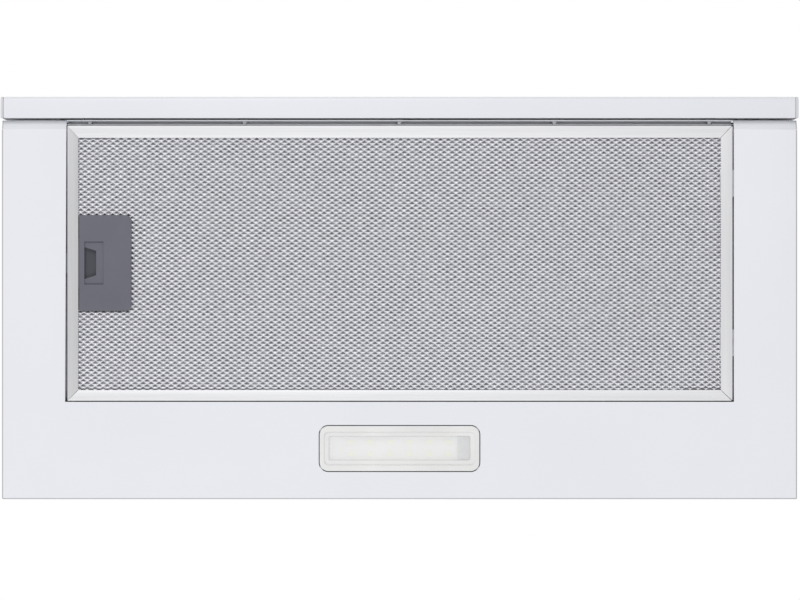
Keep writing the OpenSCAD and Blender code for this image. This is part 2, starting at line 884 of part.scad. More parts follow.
module latch_slider() {
    recess_x = window_x0 + 8.6;
    color(dark_grey) difference() {
        union() {
            block([slider_x0, filter_yc - 18, slider_z0], [slider_x1, filter_yc + 18, slider_z0 + slider_t]);
            block([bolt_x0, filter_yc - bolt_w / 2, slider_z0],
                  [slider_x0 + e, filter_yc + bolt_w / 2, slider_z0 + bolt_t]);
        }
        // finger recess, narrower towards the push wall
        translate([0, filter_yc, slider_z0 - 1]) linear_extrude(3.8)
            polygon([[window_x0, -12.05], [recess_x, -9.2], [recess_x, 9.2], [window_x0, 12.05]]);
    }
}

module latch_spring() {
    pitch = 3.4;
    width = 5;
    color(steel) translate([slider_x1 + 0.4, filter_yc, slider_z0 + 1]) linear_extrude(2.5) {
        for (i = [0:2]) translate([i * pitch, 0]) {
            difference() {
                translate([pitch / 2, 0]) square([pitch + 0.6, 2 * width], center = true);
                translate([pitch / 2, i % 2 == 0 ? -0.6 : 0.6]) square([pitch - 0.6, 2 * width + 0.1], center = true);
            }
        }
    }
}

// ---------------------------------------------------------------------- lamp

module lamp_bezel() {
    color([0.95, 0.95, 0.93]) translate([0, lamp_yc, 0]) difference() {
        union() {
            translate([0, 0, under_z - 0.6]) linear_extrude(sheet + 0.6 + 0.1) rounded(lamp_w, lamp_d, lamp_r);
            translate([0, 0, floor_z + 0.05]) linear_extrude(1.6) rounded(lamp_w + 8, lamp_d + 6, lamp_r);
            translate([0, 0, floor_z]) linear_extrude(6) rounded(lamp_w - 6, lamp_d - 6, lamp_r - 2);
        }
        // stepped recess and the lens opening
        translate([0, 0, under_z - 1]) linear_extrude(1.4) rounded(lamp_w - 6.6, lamp_d - 8.4, lamp_r - 3);
        translate([0, lamp_window_y - lamp_yc, under_z - 1]) linear_extrude(14)
            rounded(lamp_window_w, lamp_window_d, 1.2);
        translate([0, 0, floor_z + 1.6]) linear_extrude(8) rounded(lamp_w - 9, lamp_d - 9, lamp_r - 3);
    }
}

module lamp_lens() {
    color([0.92, 0.92, 0.92, 0.6]) translate([0, lamp_window_y, under_z + 0.8]) linear_extrude(1.2)
        rounded(lamp_window_w - 0.2, lamp_window_d - 0.2, 1.1);
}

module led_board() {
    color([0.9, 0.9, 0.85]) {
        translate([0, lamp_yc, board_z]) linear_extrude(1.2) square([107, 23], center = true);
        for (i = [-2.5:1:2.5], j = [-1, 1])
            translate([i * led_pitch, lamp_window_y + j * led_row, board_z - 1]) linear_extrude(1 + e)
                square(3, center = true);
    }
}

module lamp_housing() {
    top_z = drawer_z0 - 1.5;
    color(white) difference() {
        translate([0, lamp_yc, 0]) union() {
            translate([0, 0, floor_z + 1.7]) linear_extrude(2) rounded(lamp_w + 8, lamp_d + 6, lamp_r);
            translate([0, 0, floor_z + 1.7]) linear_extrude(top_z - floor_z - 1.7) rounded(lamp_w, lamp_d + 2, lamp_r);
        }
        translate([0, lamp_yc, floor_z + 1]) linear_extrude(top_z - floor_z - 2.5) rounded(lamp_w - 3, lamp_d - 1, lamp_r - 1);
    }
}

module led_driver() {
    color([0.85, 0.85, 0.83]) block([266, 20, floor_z + 1.02], [292, 86, -16]);
}

// ------------------------------------------------------------------ controls

module switch_block() {
    y0 = front_y + 0.2;
    xc = (switch_x0 + switch_x1) / 2;
    zc = (switch_z0 + switch_z1) / 2;
    color([0.25, 0.25, 0.27]) difference() {
        union() {
            block([switch_x0 + 0.2, y0, switch_z0 + 0.2], [switch_x1 - 0.2, front_y + sheet + 1, switch_z1 - 0.2]);
            block([inner_wall_x1 + 0.2, front_y + sheet + 0.05, switch_z0 - 1.5],
                  [side_x - sheet - 0.2, front_y + 26, switch_z1 + 1.5]);
        }
        for (i = [-1:1])
            block([xc + i * button_pitch - button_w / 2 - button_gap, y0 - 1, zc - button_h / 2 - button_gap],
                  [xc + i * button_pitch + button_w / 2 + button_gap, y0 + 13, zc + button_h / 2 + button_gap]);
    }
}

module button(i, tint) {
    xc = (switch_x0 + switch_x1) / 2 + i * button_pitch;
    zc = (switch_z0 + switch_z1) / 2;
    y0 = front_y + 0.1;
    color(tint) difference() {
        block([xc - button_w / 2, y0, zc - button_h / 2], [xc + button_w / 2, y0 + 9, zc + button_h / 2]);
        // dished touch face
        translate([xc, y0 - 29.4, zc]) rotate([0, 90, 0]) cylinder(h = button_w + 2, r = 30, center = true, $fn = 96);
    }
}

module button_light() {
    button(-1, [0.8, 0.8, 0.82]);
}

module button_speed_1() {
    button(0, [0.8, 0.8, 0.82]);
}

module button_speed_2() {
    button(1, [0.8, 0.8, 0.82]);
}

module reed_sensor() {
    color(dark_grey) block([238, drawer_y1 + 2, drawer_z0 + 0.5], [258.9, drawer_y1 + 12, drawer_z0 + 9]);
}

// ---------------------------------------------------------------- electrical

module terminal_box() {
    x0 = terminal_x - terminal_w / 2;
    y0 = terminal_y - terminal_d / 2;
    z0 = upper_h + 0.05;
    color([0.2, 0.2, 0.21]) difference() {
        block([x0, y0, z0], [x0 + terminal_w, y0 + terminal_d, z0 + terminal_h]);
        block([x0 + 2, y0 + 2, z0 + 2], [x0 + terminal_w - 2, y0 + terminal_d - 2, z0 + terminal_h + 1]);
        for (hole = terminal_holes)
            translate([hole[0], hole[1], z0 - 1]) cylinder(h = 4, r = 5);
        translate([x0 + terminal_w - 3, terminal_y, gland_z]) rotate([0, 90, 0]) cylinder(h = 6, r = 7);
    }
}

module terminal_lid() {
    z0 = upper_h + 0.1 + terminal_h;
    color([0.2, 0.2, 0.21]) {
        translate([terminal_x, terminal_y, z0]) linear_extrude(2) rounded(terminal_w + 2, terminal_d + 2, 2);
        translate([terminal_x, terminal_y, z0 - 3]) linear_extrude(3 + e) difference() {
            rounded(terminal_w - 4.4, terminal_d - 4.4, 1);
            rounded(terminal_w - 7.4, terminal_d - 7.4, 1);
        }
    }
}

module cable_gland() {
    x = terminal_x + terminal_w / 2;
    color(black) translate([0, terminal_y, gland_z]) rotate([0, 90, 0]) difference() {
        union() {
            translate([0, 0, x - 4]) cylinder(h = 14, r = 6.9);
            translate([0, 0, x + 0.05]) cylinder(h = 3, r = 9);
            translate([0, 0, x - 5]) cylinder(h = 2.9, r = 8.5);
        }
        translate([0, 0, x - 6]) cylinder(h = 20, r = gland_r);
    }
}

// Lead of round section through a list of points
module lead(points, r) {
    for (i = [0:len(points) - 2]) {
        run = points[i + 1] - points[i];
        translate(points[i]) rotate([0, acos(run[2] / norm(run)), atan2(run[1], run[0])])
            cylinder(h = norm(run), r = r, $fn = 16);
        if (i > 0) translate(points[i]) sphere(r * 1.04, $fn = 24);
    }
}

module wiring() {
    driver_y = 86;
    // terminal box to the motor
    motor_hole = terminal_holes[0];
    driver_hole = terminal_holes[1];
    color(black) lead([[motor_hole[0], motor_hole[1], upper_h + 6], [motor_hole[0], motor_hole[1], 118],
        [130, 60, 112], [110, fan_y + 10, fan_z + 14], [motor_x1 + 0.1, fan_y + 10, fan_z + 14]], 2.4);
    color(white) {
        // terminal box to the lamp's driver
        lead([[driver_hole[0], driver_hole[1], upper_h + 6], [driver_hole[0], driver_hole[1], 124],
            [230, 120, 110], [230, 120, 20], [240, lead_y, -12], [272, lead_y, -12],
            [280, driver_y + 8, -26], [280, driver_y + 0.1, -26]], 1.8);
        // driver to the lamp
        lead([[274, driver_y + 0.1, -31], [274, driver_y + 8, -31], [268, lead_y, -31], [240, lead_y, -31],
            [220, lead_y, -36.5], [90, lead_y, -36.5], [72, 106, -32.5],
            [lamp_w / 2 + 0.1, 106, -32.5]], 1.8);
        // switches to the driver
        lead([[280, front_y + 26.1, -21], [280, -60, -24], [280, 19.9, -26]], 1.8);
    }
}

bottom_pan();
mounting_frame();
inner_wall_left();
inner_wall_right();
upper_shell();
upper_side_left();
upper_side_right();
outlet_collar();
flap_pin();
flap_front();
flap_rear();
volute_left();
volute_right();
motor_bracket();
motor_can();
stator_core();
motor_bearings();
motor_shaft();
rotor_core();
impeller();
capacitor();
slide_outer_left();
slide_outer_right();
ball_cage_left();
ball_cage_right();
slide_inner_left();
slide_inner_right();
drawer_frame();
drawer_front_rail();
drawer_cover();
drawer_filter_frame();
drawer_mesh();
drawer_magnet();
front_panel();
end_cap_left();
end_cap_right();
front_screws();
filter_frame();
filter_mesh();
filter_core();
filter_tabs();
latch_plate();
latch_slider();
latch_spring();
lamp_bezel();
lamp_lens();
led_board();
lamp_housing();
led_driver();
switch_block();
button_light();
button_speed_1();
button_speed_2();
reed_sensor();
terminal_box();
terminal_lid();
cable_gland();
side_clips();
housing_screws();
wiring();
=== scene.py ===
"""Finishes a slide-out range hood: its painted panels, aluminium filters, lamp, latch and blower."""

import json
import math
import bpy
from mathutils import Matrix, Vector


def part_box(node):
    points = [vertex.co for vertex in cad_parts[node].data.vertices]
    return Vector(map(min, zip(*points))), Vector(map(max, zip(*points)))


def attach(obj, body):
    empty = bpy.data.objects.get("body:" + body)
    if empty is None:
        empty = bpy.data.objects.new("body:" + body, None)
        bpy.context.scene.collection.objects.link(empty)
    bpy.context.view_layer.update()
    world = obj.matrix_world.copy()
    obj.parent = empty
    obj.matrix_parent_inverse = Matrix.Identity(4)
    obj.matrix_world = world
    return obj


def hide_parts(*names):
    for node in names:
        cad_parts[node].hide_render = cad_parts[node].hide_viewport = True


bl_info = {
    "name": "Slide-out range hood",
    "version": (1, 0, 0),
    "blender": (4, 5, 0),
    "location": "3D View > Sidebar > Range hood",
    "description": "Finishes each piece of a slide-out range hood around its packed model",
    "category": "Object",
}

import bmesh
import bpy
from bpy.props import FloatProperty, FloatVectorProperty, IntProperty, PointerProperty
from mathutils import Matrix, Vector, noise

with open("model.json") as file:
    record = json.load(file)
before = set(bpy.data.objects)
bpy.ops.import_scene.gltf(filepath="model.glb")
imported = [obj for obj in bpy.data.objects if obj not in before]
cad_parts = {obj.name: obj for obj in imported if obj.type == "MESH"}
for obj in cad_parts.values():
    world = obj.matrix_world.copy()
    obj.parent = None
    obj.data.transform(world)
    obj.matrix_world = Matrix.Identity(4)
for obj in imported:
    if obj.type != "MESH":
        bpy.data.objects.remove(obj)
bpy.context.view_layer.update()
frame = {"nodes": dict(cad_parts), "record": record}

MM = 0.001
TOUCH = 0.05 * MM  # points closer than this lie on the same face
SHEET_EDGE = 1.2 * MM  # just over the thickness of the pan's sheet
ARM_DRAW = 0.9 * MM  # how far the left arm's edge is drawn to the filter
CAP_SLIT = 0.5 * MM  # width of the slit between a cap and the panel
STRIP = 8.4 * MM  # width of a filter's rails
MESH_EDGE = 8.8 * MM  # where the mesh starts behind the rails
# half sizes of a mesh opening, in steps of the mesh, and how far its lip is raised
OPENING = {"side": 0.68, "side_rear": 0.27, "base": 0.34, "apex": 0.80, "rise": 0.22 * MM, "apex_rise": 0.3}
FOIL_LAYERS = (0.24, 0.5, 0.76)  # heights of the foils in the filter's core
BODY_OF = {n: body for body, members in frame["record"]["behaviour"]["bodies"].items() for n in members}


# ------------------------------------------------------------------ settings


class HoodColours(bpy.types.PropertyGroup):
    """Colours of the hood's finishes."""

    paint: FloatVectorProperty(
        name="Paint", description="Powder coat of the panels", subtype="COLOR",
        default=(0.80, 0.81, 0.845), min=0, max=1)
    zinc: FloatVectorProperty(
        name="Zinc", description="Galvanised sheet of the housing", subtype="COLOR",
        default=(0.56, 0.575, 0.60), min=0, max=1)
    aluminium: FloatVectorProperty(
        name="Aluminium", description="Rails of the filters", subtype="COLOR",
        default=(0.85, 0.85, 0.86), min=0, max=1)
    strand: FloatVectorProperty(
        name="Strands", description="Expanded mesh of the filters", subtype="COLOR",
        default=(0.77, 0.77, 0.805), min=0, max=1)
    foil: FloatVectorProperty(
        name="Foil", description="Layers of foil behind the mesh", subtype="COLOR",
        default=(0.46, 0.46, 0.495), min=0, max=1)
    latch: FloatVectorProperty(
        name="Latch", description="Grey plastic of the latch", subtype="COLOR",
        default=(0.135, 0.135, 0.166), min=0, max=1)
    bezel: FloatVectorProperty(
        name="Lamp frame", description="Warm white plastic of the lamp", subtype="COLOR",
        default=(0.79, 0.79, 0.775), min=0, max=1)


class HoodSizes(bpy.types.PropertyGroup):
    """Sizes of the details that the finish adds."""

    cell_width: FloatProperty(
        name="Cell width", description="Pitch of the mesh along the hood's width", unit="LENGTH",
        default=6.005 * MM, min=3 * MM, max=12 * MM)
    cell_depth: FloatProperty(
        name="Cell depth", description="Pitch of the mesh along the hood's depth", unit="LENGTH",
        default=3.83 * MM, min=2 * MM, max=8 * MM)
    mesh_lean: FloatVectorProperty(
        name="Mesh lean", description="How far the mesh's columns and rows lean, as slopes", subtype="XYZ",
        size=2, default=(-0.008, 0.0029), min=-0.1, max=0.1)
    mesh_shift: FloatVectorProperty(
        name="Mesh shift", description="Where the mesh's pattern starts, from the middle of the filter",
        subtype="XYZ", unit="LENGTH", size=2, default=(-0.05 * MM, 0.97 * MM))
    mesh_gauge: FloatProperty(
        name="Mesh gauge", description="Thickness of the mesh's metal", unit="LENGTH",
        default=0.35 * MM, min=0.1 * MM, max=0.5 * MM)
    fold_radius: FloatProperty(
        name="Fold radius", description="Outer radius of the folds in the painted steel", unit="LENGTH",
        default=0.9 * MM, min=0.3 * MM, max=0.95 * MM)
    rim_radius: FloatProperty(
        name="Rim radius", description="Radius of the cut edges in the painted steel", unit="LENGTH",
        default=0.4 * MM, min=0.1 * MM, max=0.5 * MM)
    edge_radius: FloatProperty(
        name="Edge radius", description="Radius of the moulded edges", unit="LENGTH",
        default=0.3 * MM, min=0.1 * MM, max=0.6 * MM)
    foil_rows: IntProperty(
        name="Foil rows", description="Rows of creases across the foil", default=120, min=20, max=240)


class HoodStage(bpy.types.PropertyGroup):
    """Where the hood is seen from, and the light on it."""

    camera_distance: FloatProperty(
        name="Camera distance", description="From the camera up to the underside", unit="LENGTH",
        default=2.4, min=1, max=10)
    frame_width: FloatProperty(
        name="Frame width", description="Width that the camera takes in at the underside", unit="LENGTH",
        default=0.6016, min=0.3, max=2)
    look_at: FloatVectorProperty(
        name="Look at", description="Point of the underside that the camera looks up at", subtype="XYZ",
        unit="LENGTH", size=2, default=(0.35 * MM, -7.3 * MM))
    floor_drop: FloatProperty(
        name="Floor drop", description="From the underside down to the floor", unit="LENGTH",
        default=4.4, min=3, max=10)
    sky: FloatProperty(
        name="Sky", description="Strength of the even light from all round", default=0.52, min=0, max=2)
    key: FloatProperty(
        name="Key", description="Power of the soft light below the hood", unit="POWER",
        default=27.8, min=0, max=1000)


# ----------------------------------------------------------------- materials


def add_node(mat, kind, inputs=(), **values):
    """Adds a shader node, sets its attributes and then its unlinked inputs."""
    made = mat.node_tree.nodes.new(kind)
    for name, value in values.items():
        setattr(made, name, value)
    for name, value in dict(inputs).items():
        made.inputs[name].default_value = value
    return made


def join(mat, output, entry):
    mat.node_tree.links.new(output, entry)


def plain_material(name, colour, roughness, metallic=0.0, **sockets):
    """A Principled material; sockets are its other inputs, with _ for a space in their names."""
    mat = bpy.data.materials.new(name)
    mat.use_nodes = True
    shader = mat.node_tree.nodes["Principled BSDF"]
    shader.inputs["Base Color"].default_value = (*colour, 1)
    shader.inputs["Roughness"].default_value = roughness
    shader.inputs["Metallic"].default_value = metallic
    for socket, value in sockets.items():
        shader.inputs[socket.replace("_", " ")].default_value = value
    return mat, shader


def grain(mat, scale, detail=3.0, roughness=0.5):
    """Noise over the piece, with its own scale along X, Y and Z in cells per metre."""
    place = add_node(mat, "ShaderNodeTexCoord")
    mapping = add_node(mat, "ShaderNodeMapping", {"Scale": scale})
    pattern = add_node(mat, "ShaderNodeTexNoise", {"Scale": 1.0, "Detail": detail, "Roughness": roughness})
    join(mat, place.outputs["Object"], mapping.inputs["Vector"])
    join(mat, mapping.outputs["Vector"], pattern.inputs["Vector"])
    return pattern.outputs["Fac"]


def spangle(mat, scale):
    """Crystal patches of zinc, one even tone in each patch."""
    place = add_node(mat, "ShaderNodeTexCoord")
    pattern = add_node(mat, "ShaderNodeTexVoronoi", {"Scale": scale})
    tone = add_node(mat, "ShaderNodeSeparateColor")
    join(mat, place.outputs["Object"], pattern.inputs["Vector"])
    join(mat, pattern.outputs["Color"], tone.inputs["Color"])
    return tone.outputs["Red"]


def vary_colour(mat, shader, pattern, low, high):
    """Runs the base colour between two shades as the pattern goes from 0.3 to 0.7."""
    ramp = add_node(mat, "ShaderNodeValToRGB")
    ramp.color_ramp.elements[0].position = 0.3
    ramp.color_ramp.elements[0].color = (*low, 1)
    ramp.color_ramp.elements[1].position = 0.7
    ramp.color_ramp.elements[1].color = (*high, 1)
    join(mat, pattern, ramp.inputs["Fac"])
    join(mat, ramp.outputs["Color"], shader.inputs["Base Color"])


def vary_roughness(mat, shader, pattern, low, high):
    spread = add_node(mat, "ShaderNodeMapRange", {"To Min": low, "To Max": high})
    join(mat, pattern, spread.inputs["Value"])
    join(mat, spread.outputs["Result"], shader.inputs["Roughness"])


def raise_bumps(mat, shader, pattern, strength, height):
    bumps = add_node(mat, "ShaderNodeBump", {"Strength": strength, "Distance": height})
    join(mat, pattern, bumps.inputs["Height"])
    join(mat, bumps.outputs["Normal"], shader.inputs["Normal"])


def shade(colour, factor):
    return tuple(min(1.0, c * factor) for c in colour)


def cubic(scale):
    return (scale, scale, scale)


def powder_coat(name, colour):
    """Satin powder coat with the faint orange peel of sprayed steel."""
    mat, shader = plain_material(name, colour, 0.42, Specular_IOR_Level=0.42)
    vary_colour(mat, shader, grain(mat, cubic(9)), shade(colour, 0.985), shade(colour, 1.01))
    vary_roughness(mat, shader, grain(mat, cubic(420), 2), 0.36, 0.48)
    raise_bumps(mat, shader, grain(mat, cubic(1100), 1), 0.06, 0.1 * MM)
    return mat


def galvanised_sheet(name, colour):
    """Dull zinc with large crystal patches."""
    mat, shader = plain_material(name, colour, 0.6, 0.55)
    vary_colour(mat, shader, spangle(mat, 150), shade(colour, 0.94), shade(colour, 1.06))
    vary_roughness(mat, shader, grain(mat, cubic(160)), 0.54, 0.7)
    raise_bumps(mat, shader, grain(mat, cubic(300), 4), 0.05, 0.1 * MM)
    return mat


def brushed_aluminium(name, colour, along):
    """Satin aluminium with fine lines along one axis, 0 for X and 1 for Y."""
    lines = [2600, 2600, 2600]
    lines[along] = 14
    mat, shader = plain_material(name, colour, 0.48, 0.3)
    vary_colour(mat, shader, grain(mat, lines, 2), shade(colour, 0.95), shade(colour, 1.04))
    vary_roughness(mat, shader, grain(mat, lines, 4), 0.42, 0.58)
    raise_bumps(mat, shader, grain(mat, lines, 2), 0.12, 0.05 * MM)
    return mat


def strand_metal(name, colour):
    """Bright sheared aluminium, uneven from strand to strand."""
    mat, shader = plain_material(name, colour, 0.36, 0.35)
    vary_colour(mat, shader, grain(mat, (240, 380, 240), 3, 0.7), shade(colour, 0.84), shade(colour, 1.10))
    vary_roughness(mat, shader, grain(mat, cubic(900)), 0.25, 0.5)
    raise_bumps(mat, shader, grain(mat, cubic(1800), 2), 0.15, 0.05 * MM)
    return mat


def creased_foil(name, colour):
    """Dull foil whose colour runs between lighter and darker soft patches."""
    mat, shader = plain_material(name, colour, 0.5, 0.4)
    vary_colour(mat, shader, grain(mat, cubic(260), 4, 0.6), shade(colour, 0.7), shade(colour, 1.35))
    raise_bumps(mat, shader, grain(mat, cubic(700), 3), 0.4, 0.2 * MM)
    return mat


def moulded_plastic(name, colour, roughness, grain_depth=0.12):
    """Injection-moulded plastic with a spark-eroded grain."""
    mat, shader = plain_material(name, colour, roughness, Specular_IOR_Level=0.4)
    vary_colour(mat, shader, grain(mat, cubic(30)), shade(colour, 0.96), shade(colour, 1.04))
    vary_roughness(mat, shader, grain(mat, cubic(900)), roughness - 0.06, roughness + 0.08)
    raise_bumps(mat, shader, grain(mat, cubic(2200), 2), grain_depth, 0.05 * MM)
    return mat


def bright_steel(name, colour, roughness=0.3):
    """Zinc-plated steel with light rub marks."""
    mat, shader = plain_material(name, colour, roughness, 0.85)
    vary_colour(mat, shader, grain(mat, cubic(220), 4), shade(colour, 0.88), shade(colour, 1.08))
    vary_roughness(mat, shader, grain(mat, cubic(700), 3), roughness - 0.08, roughness + 0.14)
    raise_bumps(mat, shader, grain(mat, cubic(1500), 2), 0.06, 0.05 * MM)
    return mat


def frosted_cover(name):
    """Frosted acrylic that lets the lamp's board show through faintly."""
    mat, shader = plain_material(name, (0.97, 0.97, 0.97), 0.3, Alpha=0.5)
    vary_roughness(mat, shader, grain(mat, cubic(600)), 0.26, 0.38)
    raise_bumps(mat, shader, grain(mat, (900, 60, 900), 1), 0.08, 0.1 * MM)
    return mat


def lead_skin_and_gap_shade(name, colour):
    """Slightly soft insulation; also the dark coat that stands for painted shade in gaps."""
    mat, shader = plain_material(name, colour, 0.5)
    vary_roughness(mat, shader, grain(mat, cubic(500)), 0.42, 0.6)
    raise_bumps(mat, shader, grain(mat, cubic(1200), 2), 0.1, 0.05 * MM)
    return mat


def laminated_iron(name):
    """Stack of thin iron plates along the shaft, dark with varnish."""
    mat, shader = plain_material(name, (0.12, 0.10, 0.09), 0.5, 0.5)
    vary_colour(mat, shader, grain(mat, (1400, 20, 20), 1), (0.09, 0.08, 0.075), (0.22, 0.19, 0.17))
    raise_bumps(mat, shader, grain(mat, (1400, 20, 20), 1), 0.3, 0.2 * MM)
    return mat


def painted_glow(mat, colour, strength):
    """Paints light onto a part by emission: a glow that stands in for the light that the lamp's frosted
    cover lets onto what lies behind it.
    """
    shader = mat.node_tree.nodes["Principled BSDF"]
    shader.inputs["Emission Color"].default_value = (*colour, 1)
    shader.inputs["Emission Strength"].default_value = strength
    return mat


def finish_materials(colours):
    """Every finish of the hood by name."""
    paint, zinc, alu = colours.paint, colours.zinc, colours.aluminium
    return {
        "paint": powder_coat("white_powder_coat", paint),
        # darker copy of the paint for the rounded folds: painted shade along the body's outline
        "painted_fold_shade": powder_coat("powder_coat_painted_fold_shade", shade(paint, 0.6)),
        # darker copy of the paint for the sloped front band: painted shade
        "painted_slope_shade": powder_coat("powder_coat_painted_slope_shade", shade(paint, 0.89)),
        "zinc": galvanised_sheet("galvanised_sheet", zinc),
        "rail_x": brushed_aluminium("aluminium_along_width", alu, 0),
        # the left and right rails take darker copies of the aluminium: painted shade
        "rail_left_painted_shade": brushed_aluminium("aluminium_left_rail_painted_shade", shade(alu, 0.71), 1),
        "rail_right_painted_shade": brushed_aluminium("aluminium_right_rail_painted_shade", shade(alu, 0.87), 1),
        "strand": strand_metal("expanded_aluminium", colours.strand),
        "foil": creased_foil("creased_foil", colours.foil),
        "latch": moulded_plastic("latch_plastic", colours.latch, 0.52),
        # darker copy of the latch plastic for the slider's finger recess: painted shade
        "recess": moulded_plastic("latch_plastic_painted_recess_shade", shade(colours.latch, 0.5), 0.6),
        "screw": bright_steel("plated_screw_steel", (0.78, 0.78, 0.80), 0.18),
        "cap": moulded_plastic("end_cap_plastic", shade(paint, 0.86), 0.45, 0.05),
        "bezel": moulded_plastic("lamp_frame_plastic", colours.bezel, 0.34, 0.04),
        "black": moulded_plastic("black_plastic", (0.028, 0.028, 0.031), 0.5),
        "button": moulded_plastic("button_plastic", (0.62, 0.62, 0.64), 0.4, 0.05),
        "steel": bright_steel("zinc_plated_steel", (0.62, 0.625, 0.64)),
        "polished": bright_steel("ground_steel", (0.70, 0.70, 0.71), 0.2),
        "cover": frosted_cover("frosted_cover"),
        "board": moulded_plastic("white_solder_mask", (0.80, 0.80, 0.77), 0.4, 0.03),
        # the board and the LED tops glow by emission: painted light
        "board_painted_light": painted_glow(
            moulded_plastic("led_board_painted_light", (0.80, 0.80, 0.77), 0.4, 0.03), (1, 1, 1), 0.18),
        "phosphor_painted_glow": painted_glow(
            moulded_plastic("led_phosphor_painted_glow", (0.84, 0.80, 0.05), 0.35, 0.03), (1, 1, 0), 0.22),
        # dark coat put where gaps show only shade: painted shade
        "gap_shade": lead_skin_and_gap_shade("painted_gap_shade", (0.05, 0.05, 0.055)),
        "lead": lead_skin_and_gap_shade("lead_insulation", (0.03, 0.03, 0.03)),
        "iron": laminated_iron("laminated_iron"),
        "copper": bright_steel("enamelled_copper", (0.52, 0.22, 0.09), 0.35),
    }


finishes = {}


# -------------------------------------------------------------- mesh helpers


def merged_copy(node):
    """A CAD node's surface with its triangles joined and its flat faces whole."""
    bm = bmesh.new()
    bm.from_mesh(frame["nodes"][node].data)
    bmesh.ops.remove_doubles(bm, verts=bm.verts, dist=0.003 * MM)
    bmesh.ops.dissolve_limit(
        bm, angle_limit=math.radians(0.6), use_dissolve_boundaries=False,
        verts=bm.verts, edges=bm.edges, delimit={"NORMAL"})
    return bm


def face_angle(edge):
    return edge.calc_face_angle(0.0) if len(edge.link_faces) == 2 else 0.0


def round_edges(bm, radius, segments=2, chosen=None, sharper_than=40):
    """Rounds the chosen edges, or all that are sharper than an angle in degrees."""
    if chosen is None:
        chosen = [e for e in bm.edges if face_angle(e) > math.radians(sharper_than)]
    return bmesh.ops.bevel(
        bm, geom=chosen, offset=radius, offset_type="OFFSET", segments=segments, profile=0.5,
        affect="EDGES", clamp_overlap=False, material=-1)["faces"]


def parts_of(bm):
    """The sets of faces that hang together, as lists."""
    waiting, parts = set(bm.faces), []
    while waiting:
        part, edge_of_part = [], [waiting.pop()]
        while edge_of_part:
            face = edge_of_part.pop()
            part.append(face)
            for near in (f for e in face.edges for f in e.link_faces):
                if near in waiting:
                    waiting.remove(near)
                    edge_of_part.append(near)
        parts.append(part)
    return parts


def keep_parts(bm, wanted):
    """Deletes each part of the mesh whose centre fails the test."""
    for part in parts_of(bm):
        centre = sum((f.calc_center_median() for f in part), Vector()) / len(part)
        if not wanted(centre):
            bmesh.ops.delete(bm, geom=part, context="FACES")


def add_piece(name, bm, finish, body, stands_for=(), smooth_below=38):
    """Makes the mesh a piece of the hood that rides on a body."""
    mesh = bpy.data.meshes.new(name)
    bm.to_mesh(mesh)
    bm.free()
    mesh.shade_smooth()
    mesh.set_sharp_from_angle(angle=math.radians(smooth_below))
    mesh.materials.append(finishes[finish])
    piece = bpy.data.objects.new(name, mesh)
    bpy.context.scene.collection.objects.link(piece)
    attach(piece, body)
    if stands_for:
        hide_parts(*stands_for)
    return piece


def refine(node, name, finish, radius=None, segments=2, sharper_than=40):
    """Stands a copy of a CAD node with rounded edges in its place."""
    bm = merged_copy(node)
    if radius:
        round_edges(bm, radius, segments, sharper_than=sharper_than)
    return add_piece(name, bm, finish, BODY_OF[node], [node])


def paint_node(node, finish):
    """Gives a CAD node that keeps its shape its finish."""
    mesh = frame["nodes"][node].data
    mesh.materials.clear()
    mesh.materials.append(finishes[finish])


def rounded_outline(bm, centre, size, radius, z, segments=6):
    """A flat face at height z with the outline of a rounded rectangle."""
    corners = [(-0.5, -0.5), (0.5, -0.5), (0.5, 0.5), (-0.5, 0.5)]
    verts = [bm.verts.new((centre[0] + x * size[0], centre[1] + y * size[1], z)) for x, y in corners]
    bm.faces.new(verts)
    bmesh.ops.bevel(
        bm, geom=verts, offset=radius, offset_type="OFFSET", segments=segments, profile=0.5,
        affect="VERTICES", clamp_overlap=True, material=-1)
    bm.faces.ensure_lookup_table()
    return bm.faces[0]


class HoodOperator:
    """What every operator of the hood shares."""

    bl_options = {"REGISTER", "UNDO"}


# --------------------------------------------------------------------- stage


